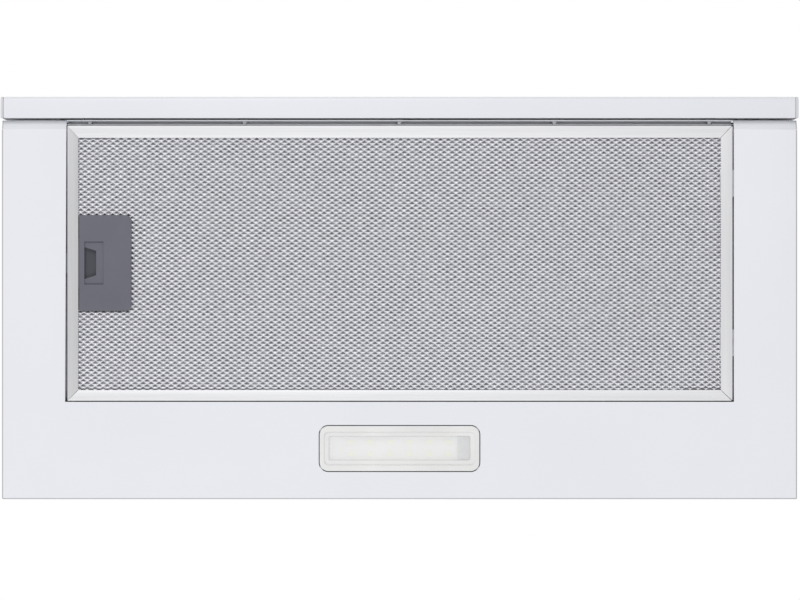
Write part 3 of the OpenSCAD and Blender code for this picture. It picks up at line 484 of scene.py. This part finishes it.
class HOOD_OT_stage(HoodOperator, bpy.types.Operator):
    """Set up the camera below the hood, the soft light and the pale floor"""

    bl_idname = "hood.stage"
    bl_label = "Stage"

    def execute(self, context):
        stage = context.scene.hood_stage
        under_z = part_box("bottom_pan")[0].z
        self.add_camera(context, stage, under_z)
        self.add_lights(context, stage, under_z)
        self.add_world(context, stage)
        self.add_floor(context, stage, under_z)
        context.scene.view_settings.view_transform = "Standard"
        return {"FINISHED"}

    def add_camera(self, context, stage, under_z):
        camera = bpy.data.objects.new("camera", bpy.data.cameras.new("camera"))
        context.scene.collection.objects.link(camera)
        camera.location = (*stage.look_at, under_z - stage.camera_distance)
        camera.rotation_euler = (math.pi, 0, 0)
        camera.data.lens = camera.data.sensor_width * stage.camera_distance / stage.frame_width
        camera.data.clip_start = 0.1
        camera.data.clip_end = 50
        context.scene.camera = camera

    def add_lights(self, context, stage, under_z):
        target = Vector((0, 0, under_z))
        for name, place, size, power in (
            ("front_light", Vector((-0.35, -1.8, under_z - 1.7)), 1.4, stage.key),
            ("rear_light", Vector((-0.2, 1.8, under_z - 1.7)), 1.4, stage.key * 0.95),
        ):
            light = bpy.data.lights.new(name, "AREA")
            light.size = size
            light.energy = power
            lamp = bpy.data.objects.new(name, light)
            lamp.location = place
            lamp.rotation_euler = (target - place).to_track_quat("-Z", "Y").to_euler()
            lamp.visible_camera = False
            context.scene.collection.objects.link(lamp)

    def add_world(self, context, stage):
        world = bpy.data.worlds.new("studio")
        context.scene.world = world
        world.use_nodes = True
        nodes, links = world.node_tree.nodes, world.node_tree.links
        nodes.clear()
        path = nodes.new("ShaderNodeLightPath")
        seen, mirrored = nodes.new("ShaderNodeMath"), nodes.new("ShaderNodeMath")
        seen.operation = mirrored.operation = "MAXIMUM"
        sky = nodes.new("ShaderNodeBackground")
        sky.inputs["Color"].default_value = (0.97, 0.98, 1.0, 1)
        sky.inputs["Strength"].default_value = stage.sky
        white = nodes.new("ShaderNodeBackground")
        white.inputs["Color"].default_value = (1, 1, 1, 1)
        mix = nodes.new("ShaderNodeMixShader")
        output = nodes.new("ShaderNodeOutputWorld")
        links.new(path.outputs["Is Camera Ray"], seen.inputs[0])
        links.new(path.outputs["Is Glossy Ray"], mirrored.inputs[0])
        links.new(path.outputs["Is Transmission Ray"], mirrored.inputs[1])
        links.new(mirrored.outputs[0], seen.inputs[1])
        links.new(seen.outputs[0], mix.inputs["Fac"])
        links.new(sky.outputs[0], mix.inputs[1])
        links.new(white.outputs[0], mix.inputs[2])
        links.new(mix.outputs[0], output.inputs["Surface"])

    def add_floor(self, context, stage, under_z):
        bm = bmesh.new()
        bmesh.ops.create_grid(bm, x_segments=1, y_segments=1, size=12)
        bmesh.ops.translate(bm, vec=(0, 0, under_z - stage.floor_drop), verts=bm.verts)
        mesh = bpy.data.meshes.new("floor")
        bm.to_mesh(mesh)
        bm.free()
        mat, shader = plain_material("pale_floor", (0.86, 0.86, 0.86), 0.7)
        vary_roughness(mat, shader, grain(mat, cubic(6)), 0.65, 0.8)
        self.clear_from_below(mat, shader)
        mesh.materials.append(mat)
        floor = bpy.data.objects.new("floor", mesh)
        context.scene.collection.objects.link(floor)

    def clear_from_below(self, mat, shader):
        """Lets a camera under the floor look through it."""
        side = add_node(mat, "ShaderNodeNewGeometry")
        clear = add_node(mat, "ShaderNodeBsdfTransparent")
        mix = add_node(mat, "ShaderNodeMixShader")
        join(mat, side.outputs["Backfacing"], mix.inputs["Fac"])
        join(mat, shader.outputs["BSDF"], mix.inputs[1])
        join(mat, clear.outputs["BSDF"], mix.inputs[2])
        join(mat, mix.outputs["Shader"], mat.node_tree.nodes["Material Output"].inputs["Surface"])


# -------------------------------------------------------------- painted steel


class HOOD_OT_pan(HoodOperator, bpy.types.Operator):
    """Fold and paint the pan under the hood and its inner walls"""

    bl_idname = "hood.pan"
    bl_label = "Pan"

    def execute(self, context):
        sizes = context.scene.hood_sizes
        low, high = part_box("bottom_pan")
        filter_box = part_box("filter_frame")
        sheet_top = low.z + SHEET_EDGE
        bm = merged_copy("bottom_pan")

        def on_outside(point):
            return (
                min(abs(point.x - low.x), abs(point.x - high.x)) < TOUCH
                or min(abs(point.y - low.y), abs(point.y - high.y)) < TOUCH
                or abs(point.z - low.z) < TOUCH
            )

        def on_side(point):
            return min(abs(point.x - low.x), abs(point.x - high.x), abs(point.y - high.y)) < TOUCH

        def edges_of(kind):
            """The outer folds, or the cut rims, of the sheet."""
            for edge in bm.edges:
                ends = [v.co for v in edge.verts]
                run = ends[1] - ends[0]
                short_upright = abs(run.z) > 0.9 * run.length and max(p.z for p in ends) < sheet_top
                if (
                    face_angle(edge) > math.radians(20) and all(on_outside(p) for p in ends)
                    and run.length > 3 * MM and not short_upright
                    and all(on_side(p) for p in ends) == (kind == "fold")
                ):
                    yield edge

        # faces of the sloped front band take the darker paint, index 2: painted shade
        for face in bm.faces:
            if -0.6 < face.normal.y < -0.4 and face.normal.z < -0.8:
                face.material_index = 2
        round_edges(bm, sizes.rim_radius, 2, chosen=list(edges_of("rim")))
        # the rounded outer folds take the darker paint, index 1: painted shade
        for face in round_edges(bm, sizes.fold_radius, 3, chosen=list(edges_of("fold"))):
            face.material_index = 1
        for v in bm.verts:
            if v.co.y < filter_box[1].y and low.x + 30 * MM < v.co.x < filter_box[0].x + 2 * MM:
                v.co.x += ARM_DRAW
        piece = add_piece("pan_steel", bm, "paint", "chassis", ["bottom_pan"])
        piece.data.materials.append(finishes["painted_fold_shade"])
        piece.data.materials.append(finishes["painted_slope_shade"])
        for side in ("left", "right"):
            refine(f"inner_wall_{side}", f"inner_wall_steel_{side}", "paint", 0.2 * MM)
        return {"FINISHED"}


class HOOD_OT_front(HoodOperator, bpy.types.Operator):
    """Fold and paint the front panel, and fit its caps, rail and screws"""

    bl_idname = "hood.front"
    bl_label = "Front panel"

    def execute(self, context):
        sizes = context.scene.hood_sizes
        refine("front_panel", "panel_steel", "paint", 0.35 * MM, 3)
        for side in ("left", "right"):
            self.add_cap(side, sizes)
        self.add_rail()
        refine("front_screws", "front_screw_heads", "screw", 0.2 * MM)
        return {"FINISHED"}

    def add_cap(self, side, sizes):
        """An end cap, with the fine slit where it meets the panel."""
        ends = [corner.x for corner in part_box("front_panel")]
        joint, outward = (ends[0], -1) if side == "left" else (ends[1], 1)
        node = f"end_cap_{side}"
        bm = merged_copy(node)
        for v in bm.verts:
            if abs(v.co.x - joint) < 0.3 * MM:
                v.co.x += outward * CAP_SLIT
        round_edges(bm, sizes.edge_radius)
        add_piece(f"cap_moulding_{side}", bm, "cap", BODY_OF[node], [node])

    def add_rail(self):
        """The channel behind the panel; its front faces, with the pads that touch the panel, take a dark
        coat: painted shade in the gap.
        """
        bm = merged_copy("drawer_front_rail")
        low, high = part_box("drawer_front_rail")
        sheet_y = low.y + 1.1 * MM
        for v in bm.verts:
            if v.co.y > high.y - 0.1 * MM:
                v.co.y -= 1.5 * MM
            if abs(v.co.x) > high.x - 3 * MM:
                v.co.x = math.copysign(high.x - 0.3 * MM, v.co.x)
        # the front faces take the dark coat, index 1: painted shade in the gap behind the panel
        for face in bm.faces:
            face.material_index = int(face.calc_center_median().y < sheet_y)
        round_edges(bm, 0.2 * MM)
        piece = add_piece(
            "front_rail_steel", bm, "paint", "drawer", ["drawer_front_rail"])
        piece.data.materials.append(finishes["gap_shade"])


class HOOD_OT_drawer(HoodOperator, bpy.types.Operator):
    """Paint the drawer and plate its slides"""

    bl_idname = "hood.drawer"
    bl_label = "Drawer and slides"

    def execute(self, context):
        refine("drawer_frame", "drawer_steel", "paint", 0.25 * MM)
        refine("drawer_cover", "drawer_cover_steel", "paint", 0.25 * MM)
        for side in ("left", "right"):
            refine(f"slide_outer_{side}", f"slide_outer_steel_{side}", "steel", 0.2 * MM)
            refine(f"slide_inner_{side}", f"slide_inner_steel_{side}", "steel", 0.2 * MM)
            paint_node(f"ball_cage_{side}", "polished")
        refine("drawer_magnet", "magnet_holder", "latch", 0.4 * MM)
        refine("reed_sensor", "sensor_case", "latch", 0.5 * MM)
        return {"FINISHED"}


# -------------------------------------------------------------------- filters


def rail_side(centre, middle, half):
    """Which side of a filter a rail's centre is on."""
    across, along = (centre.x - middle.x) / half.x, (centre.y - middle.y) / half.y
    if abs(across) > abs(along):
        return "left" if across < 0 else "right"
    return "front" if along < 0 else "rear"


def spread_sides(bm, low, high, spread):
    """Moves the outer faces of a frame outwards: left, right and rear, in that order."""
    near = 0.1 * MM
    for v in bm.verts:
        if v.co.x < low.x + near:
            v.co.x -= spread[0]
        elif v.co.x > high.x - near:
            v.co.x += spread[1]
        if v.co.y > high.y - near:
            v.co.y += spread[2]


def shift_window(bm, low, high, strip, front, rear):
    """Moves the inner edges of a frame's front and rear rails to the rear."""
    near = 0.4 * MM
    for v in bm.verts:
        if abs(v.co.y - low.y - strip) < near:
            v.co.y += front
        elif abs(v.co.y - high.y + strip) < near:
            v.co.y += rear


def add_rails(node, name, radius, spread=None, window=None):
    """The four mitred rails of a filter, each brushed along its length."""
    low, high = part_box(node)
    middle, half = (low + high) / 2, (high - low) / 2
    # the left and right rails get their darker copies of the aluminium: painted shade
    finish_of = {"front": "rail_x", "rear": "rail_x", "left": "rail_left_painted_shade", "right": "rail_right_painted_shade"}
    for side, finish in finish_of.items():
        bm = merged_copy(node)
        keep_parts(bm, lambda centre, side=side: rail_side(centre, middle, half) == side)
        if spread:
            spread_sides(bm, low, high, spread)
        if window:
            shift_window(bm, low, high, *window)
        round_edges(bm, radius, 2)
        add_piece(f"{name}_rail_{side}", bm, finish, BODY_OF[node], [node])


def expanded_sheet(sizes, low, high, z, facing, hole=None):
    """Lattice of expanded metal over a rectangle, at height z.

    Each opening is a low triangle that points to the front. facing is -1 where the raised side looks
    down. hole is a rectangle that the lattice leaves open.
    """
    step_x, step_y = sizes.cell_width / 2, sizes.cell_depth / 2
    middle_x, middle_y = (low.x + high.x) / 2, (low.y + high.y) / 2
    count = math.ceil((high.x - low.x) / 2 / sizes.cell_width + (high.y - low.y) / 2 / sizes.cell_depth) + 2
    bm = bmesh.new()
    bmesh.ops.create_grid(bm, x_segments=2 * count, y_segments=2 * count, size=count)
    cells_to_sheet = Matrix(((step_x, -step_x, 0, 0), (step_y, step_y, 0, 0), (0, 0, 1, 0), (0, 0, 0, 1)))
    lean = Matrix(((1, sizes.mesh_lean[0], 0, 0), (sizes.mesh_lean[1], 1, 0, 0), (0, 0, 1, 0), (0, 0, 0, 1)))
    start = Matrix.Translation((middle_x + sizes.mesh_shift[0], middle_y + sizes.mesh_shift[1], z))
    bmesh.ops.transform(bm, matrix=start @ lean @ cells_to_sheet, verts=bm.verts)

    def outside(face):
        c = face.calc_center_median()
        if not (low.x - step_x <= c.x <= high.x + step_x and low.y - step_y <= c.y <= high.y + step_y):
            return True
        return bool(hole) and hole[0].x < c.x < hole[1].x and hole[0].y < c.y < hole[1].y

    bmesh.ops.delete(bm, geom=[f for f in bm.faces if outside(f)], context="FACES")
    cells = list(bm.faces)
    bmesh.ops.inset_individual(bm, faces=cells, thickness=step_y * 0.3, depth=0)
    rise = -facing * OPENING["rise"]
    for cell in cells:
        c = cell.calc_center_median()
        for v in cell.verts:
            away = v.co - c
            if abs(away.x) > abs(away.y):
                side = math.copysign(OPENING["side"] * step_x, away.x)
                shift = Vector((side, OPENING["side_rear"] * step_y, rise))
            elif away.y > 0:
                shift = Vector((0, OPENING["base"] * step_y, rise))
            else:
                shift = Vector((0, -OPENING["apex"] * step_y, OPENING["apex_rise"] * rise))
            v.co = c + shift
    bmesh.ops.delete(bm, geom=cells, context="FACES")
    bmesh.ops.triangulate(bm, faces=bm.faces, quad_method="SHORT_EDGE")
    bmesh.ops.recalc_face_normals(bm, faces=bm.faces)
    if bm.faces and next(iter(bm.faces)).normal.z * facing < 0:
        bmesh.ops.reverse_faces(bm, faces=bm.faces)
    return bm


def creased_sheet(low, high, z, rows, depth, seed, hole=None):
    """Foil over a rectangle at height z, creased up and down by noise."""
    bm = bmesh.new()
    across = round(rows * (high.x - low.x) / (high.y - low.y) / 2)
    bmesh.ops.create_grid(bm, x_segments=across, y_segments=rows, size=0.5)
    bmesh.ops.scale(bm, vec=(high.x - low.x, high.y - low.y, 1), verts=bm.verts)
    bmesh.ops.translate(bm, vec=((low.x + high.x) / 2, (low.y + high.y) / 2, z), verts=bm.verts)
    for v in bm.verts:
        v.co.z += depth * noise.noise(Vector((v.co.x * 170, v.co.y * 260, seed)))
    if hole:
        inside = [
            f for f in bm.faces
            if hole[0].x < f.calc_center_median().x < hole[1].x
            and hole[0].y < f.calc_center_median().y < hole[1].y
        ]
        bmesh.ops.delete(bm, geom=inside, context="FACES")
    return bm


def thicken(piece, thickness, offset):
    gauge = piece.modifiers.new("gauge", "SOLIDIFY")
    gauge.thickness = thickness
    gauge.offset = offset


def add_filter_media(sizes, mesh_node, core_node, name, strip, hole=None):
    """The two sheets of expanded metal of a filter and the foil between them."""
    low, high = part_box(mesh_node)
    body, seen = BODY_OF[mesh_node], Vector((strip, strip, 0))
    for where, z, facing in (("lower", low.z + 0.05 * MM, -1), ("upper", high.z - 0.05 * MM, 1)):
        bm = expanded_sheet(sizes, low + seen, high - seen, z, facing, hole)
        piece = add_piece(
            f"{name}_mesh_{where}", bm, "strand", body, [mesh_node], smooth_below=20)
        thicken(piece, sizes.mesh_gauge, -1)
    stands_for = [core_node] if core_node else []
    margin = Vector((strip * 0.4, strip * 0.4, 0))
    for layer, part in enumerate(FOIL_LAYERS, 1):
        z = low.z + (high.z - low.z) * part
        bm = creased_sheet(low + margin, high - margin, z, sizes.foil_rows, 0.9 * MM, layer * 7.3, hole)
        piece = add_piece(f"{name}_foil_{layer}", bm, "foil", body, stands_for)
        thicken(piece, 0.08 * MM, 0)


class HOOD_OT_grease_filter(HoodOperator, bpy.types.Operator):
    """Brush the filter's rails and weave its mesh and foil"""

    bl_idname = "hood.grease_filter"
    bl_label = "Grease filter"

    def execute(self, context):
        sizes = context.scene.hood_sizes
        add_rails(
            "filter_frame", "filter", 0.25 * MM, spread=(-0.2 * MM, 0.4 * MM, 0.25 * MM),
            window=(STRIP, 0.7 * MM, 0.6 * MM))
        plate_low, plate_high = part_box("latch_plate")
        margin = Vector((0.6 * MM, 0.6 * MM, 0))
        hole = (plate_low - Vector((20 * MM, -margin.y, 0)), plate_high - margin)
        add_filter_media(sizes, "filter_mesh", "filter_core", "filter", MESH_EDGE, hole)
        refine("filter_tabs", "filter_tab_steel", "steel", 0.15 * MM)
        return {"FINISHED"}


class HOOD_OT_drawer_filter(HoodOperator, bpy.types.Operator):
    """Brush the drawer filter's rails and weave its mesh and foil"""

    bl_idname = "hood.drawer_filter"
    bl_label = "Drawer filter"

    def execute(self, context):
        sizes = context.scene.hood_sizes
        add_rails("drawer_filter_frame", "drawer_filter", 0.25 * MM)
        add_filter_media(sizes, "drawer_mesh", None, "drawer_filter", MESH_EDGE)
        return {"FINISHED"}


class HOOD_OT_latch(HoodOperator, bpy.types.Operator):
    """Mould the filter's latch plate, slider and spring"""

    bl_idname = "hood.latch"
    bl_label = "Latch"

    def execute(self, context):
        self.add_plate()
        self.add_slider()
        paint_node("latch_spring", "polished")
        return {"FINISHED"}

    def add_plate(self):
        """The plate, with its left edge drawn back from the filter's rail."""
        bm = merged_copy("latch_plate")
        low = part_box("latch_plate")[0]
        for v in bm.verts:
            if v.co.x < low.x + 0.1 * MM and v.co.z < low.z + 1.1 * MM:
                v.co.x += 0.4 * MM
        round_edges(bm, 0.2 * MM, 3)
        add_piece("latch_plate_moulding", bm, "latch", "grease_filter", ["latch_plate"])

    def add_slider(self):
        """The slider, with its finger recess painted darker: painted shade in the recess."""
        bm = merged_copy("latch_slider")
        low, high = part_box("latch_slider")
        # faces in the finger recess take the darker plastic, index 1: painted shade
        for face in bm.faces:
            c = face.calc_center_median()
            in_shaded_recess = low.x + 15 * MM < c.x < high.x - 10 * MM and 0.2 * MM < c.z - low.z < 3.5 * MM
            face.material_index = int(in_shaded_recess)
        round_edges(bm, 0.15 * MM)
        piece = add_piece("latch_slider_moulding", bm, "latch", "latch", ["latch_slider"])
        piece.data.materials.append(finishes["recess"])


# ----------------------------------------------------------------------- lamp


class HOOD_OT_lamp(HoodOperator, bpy.types.Operator):
    """Mould the lamp's frame and cover, and paint a glow on its board"""

    bl_idname = "hood.lamp"
    bl_label = "Lamp"

    def execute(self, context):
        sizes = context.scene.hood_sizes
        refine("lamp_bezel", "lamp_frame_moulding", "bezel", sizes.edge_radius, 3)
        refine("lamp_lens", "lamp_cover_moulding", "cover", 0.2 * MM)
        refine("lamp_housing", "lamp_housing_moulding", "bezel", sizes.edge_radius)
        refine("led_driver", "driver_case", "board", 0.8 * MM, 3)
        self.add_board()
        self.add_gap_shade_ring()
        return {"FINISHED"}

    def add_board(self):
        """The board, with the yellow top of each LED as its own face."""
        bm = merged_copy("led_board")
        low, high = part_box("led_board")
        chip_faces = [
            f for f in bm.faces
            if f.normal.z < -0.9 and f.calc_center_median().z < low.z + 0.1 * MM
        ]
        bmesh.ops.inset_individual(bm, faces=chip_faces, thickness=0.25 * MM, depth=0)
        for face in chip_faces:
            face.material_index = 1
        end_x = high.x - 10 * MM
        bmesh.ops.bisect_plane(
            bm, geom=[*bm.verts, *bm.edges, *bm.faces], plane_co=(end_x, 0, 0), plane_no=(1, 0, 0))
        for face in bm.faces:
            if face.calc_center_median().x > end_x:
                face.material_index = 2
        piece = add_piece("led_board_assembly", bm, "board_painted_light", "chassis", ["led_board"])
        piece.data.materials.append(finishes["phosphor_painted_glow"])
        piece.data.materials.append(finishes["steel"])

    def add_gap_shade_ring(self):
        """Thin dark ring behind the gap round the lamp's frame: painted shade that shows as a dark line."""
        low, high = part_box("lamp_bezel")
        sheet_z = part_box("bottom_pan")[0].z + 1 * MM
        size = (high.x - low.x - 1.5 * MM, high.y - low.y - 1.0 * MM)
        centre = ((low.x + high.x) / 2, (low.y + high.y) / 2)
        bm = bmesh.new()
        face = rounded_outline(bm, centre, size, 5 * MM, sheet_z + 0.02 * MM)
        bmesh.ops.inset_region(
            bm, faces=[face], thickness=3.6 * MM, depth=0, use_boundary=True, use_even_offset=True)
        middle = min(bm.faces, key=lambda f: (f.calc_center_median().xy - Vector(centre)).length)
        bmesh.ops.delete(bm, geom=[middle], context="FACES")
        piece = add_piece("lamp_gap_shade_ring", bm, "gap_shade", "chassis")
        thicken(piece, 0.02 * MM, 0)


# ----------------------------------------------------------- upper housing


class HOOD_OT_housing(HoodOperator, bpy.types.Operator):
    """Plate the ring and the housing that stands inside the cabinet"""

    bl_idname = "hood.housing"
    bl_label = "Housing"

    def execute(self, context):
        refine("mounting_frame", "mounting_ring_steel", "zinc", 0.25 * MM)
        refine("upper_shell", "housing_shell_steel", "zinc", 0.25 * MM)
        for side in ("left", "right"):
            refine(f"upper_side_{side}", f"housing_side_steel_{side}", "zinc", 0.25 * MM)
        refine("side_clips", "clip_springs", "polished", 0.15 * MM)
        refine("housing_screws", "housing_screw_heads", "polished", 0.12 * MM)
        return {"FINISHED"}


class HOOD_OT_outlet(HoodOperator, bpy.types.Operator):
    """Mould the duct collar and its two flaps"""

    bl_idname = "hood.outlet"
    bl_label = "Outlet"

    def execute(self, context):
        sizes = context.scene.hood_sizes
        refine("outlet_collar", "collar_moulding", "black", sizes.edge_radius)
        refine("flap_front", "front_flap_moulding", "black", 0.2 * MM)
        refine("flap_rear", "rear_flap_moulding", "black", 0.2 * MM)
        paint_node("flap_pin", "polished")
        return {"FINISHED"}


class HOOD_OT_blower(HoodOperator, bpy.types.Operator):
    """Finish the scroll, the impeller and the motor"""

    bl_idname = "hood.blower"
    bl_label = "Blower"

    def execute(self, context):
        for side in ("left", "right"):
            refine(f"volute_{side}", f"scroll_moulding_{side}", "black", 0.3 * MM)
        refine("impeller", "impeller_moulding", "black")
        refine("motor_can", "motor_case_steel", "zinc", 0.4 * MM, 3)
        refine("motor_bracket", "motor_bracket_steel", "steel", 0.2 * MM)
        refine("capacitor", "capacitor_case", "board", 1.2 * MM, 3)
        for node, finish in (
            ("stator_core", "iron"), ("rotor_core", "iron"),
            ("motor_bearings", "polished"), ("motor_shaft", "polished"),
        ):
            paint_node(node, finish)
        return {"FINISHED"}


class HOOD_OT_controls(HoodOperator, bpy.types.Operator):
    """Mould the switch block and its three buttons"""

    bl_idname = "hood.controls"
    bl_label = "Controls"

    def execute(self, context):
        refine("switch_block", "switch_block_moulding", "black", 0.3 * MM)
        for name in ("light", "speed_1", "speed_2"):
            refine(f"button_{name}", f"{name}_key_moulding", "button", 0.5 * MM, 3)
        return {"FINISHED"}


class HOOD_OT_supply(HoodOperator, bpy.types.Operator):
    """Finish the terminal box, its gland and the leads"""

    bl_idname = "hood.supply"
    bl_label = "Supply"

    def execute(self, context):
        refine("terminal_box", "terminal_box_moulding", "black", 0.4 * MM)
        refine("terminal_lid", "terminal_lid_moulding", "black", 0.6 * MM, 3)
        refine("cable_gland", "gland_moulding", "black", 0.4 * MM)
        refine("wiring", "lead_set", "lead")
        return {"FINISHED"}


# ----------------------------------------------------------------------- panel

PIECE_OPERATORS = (
    HOOD_OT_pan, HOOD_OT_front, HOOD_OT_drawer, HOOD_OT_grease_filter, HOOD_OT_drawer_filter,
    HOOD_OT_latch, HOOD_OT_lamp, HOOD_OT_housing, HOOD_OT_outlet, HOOD_OT_blower, HOOD_OT_controls,
    HOOD_OT_supply,
)


class HOOD_PT_panel(bpy.types.Panel):
    """Lists the hood's operators and settings in the sidebar"""

    bl_idname = "HOOD_PT_panel"
    bl_label = "Range hood"
    bl_space_type = "VIEW_3D"
    bl_region_type = "UI"
    bl_category = "Range hood"

    def draw(self, context):
        layout, scene = self.layout, context.scene
        for group in (scene.hood_colours, scene.hood_sizes, scene.hood_stage):
            column = layout.column(align=True)
            for name in group.__annotations__:
                column.prop(group, name)
        layout.operator(HOOD_OT_stage.bl_idname)
        for operator in PIECE_OPERATORS:
            layout.operator(operator.bl_idname)


SETTINGS = {"hood_colours": HoodColours, "hood_sizes": HoodSizes, "hood_stage": HoodStage}
CLASSES = (*SETTINGS.values(), HOOD_OT_stage, *PIECE_OPERATORS, HOOD_PT_panel)


def register():
    for cls in CLASSES:
        bpy.utils.register_class(cls)
    for name, group in SETTINGS.items():
        setattr(bpy.types.Scene, name, PointerProperty(type=group))


def unregister():
    for name in SETTINGS:
        delattr(bpy.types.Scene, name)
    for cls in reversed(CLASSES):
        bpy.utils.unregister_class(cls)


def main():
    register()
    finishes.update(finish_materials(bpy.context.scene.hood_colours))
    bpy.ops.hood.stage()
    bpy.ops.hood.pan()
    bpy.ops.hood.front()
    bpy.ops.hood.drawer()
    bpy.ops.hood.grease_filter()
    bpy.ops.hood.drawer_filter()
    bpy.ops.hood.latch()
    bpy.ops.hood.lamp()
    bpy.ops.hood.housing()
    bpy.ops.hood.outlet()
    bpy.ops.hood.blower()
    bpy.ops.hood.controls()
    bpy.ops.hood.supply()


if __name__ == "__main__":
    main()
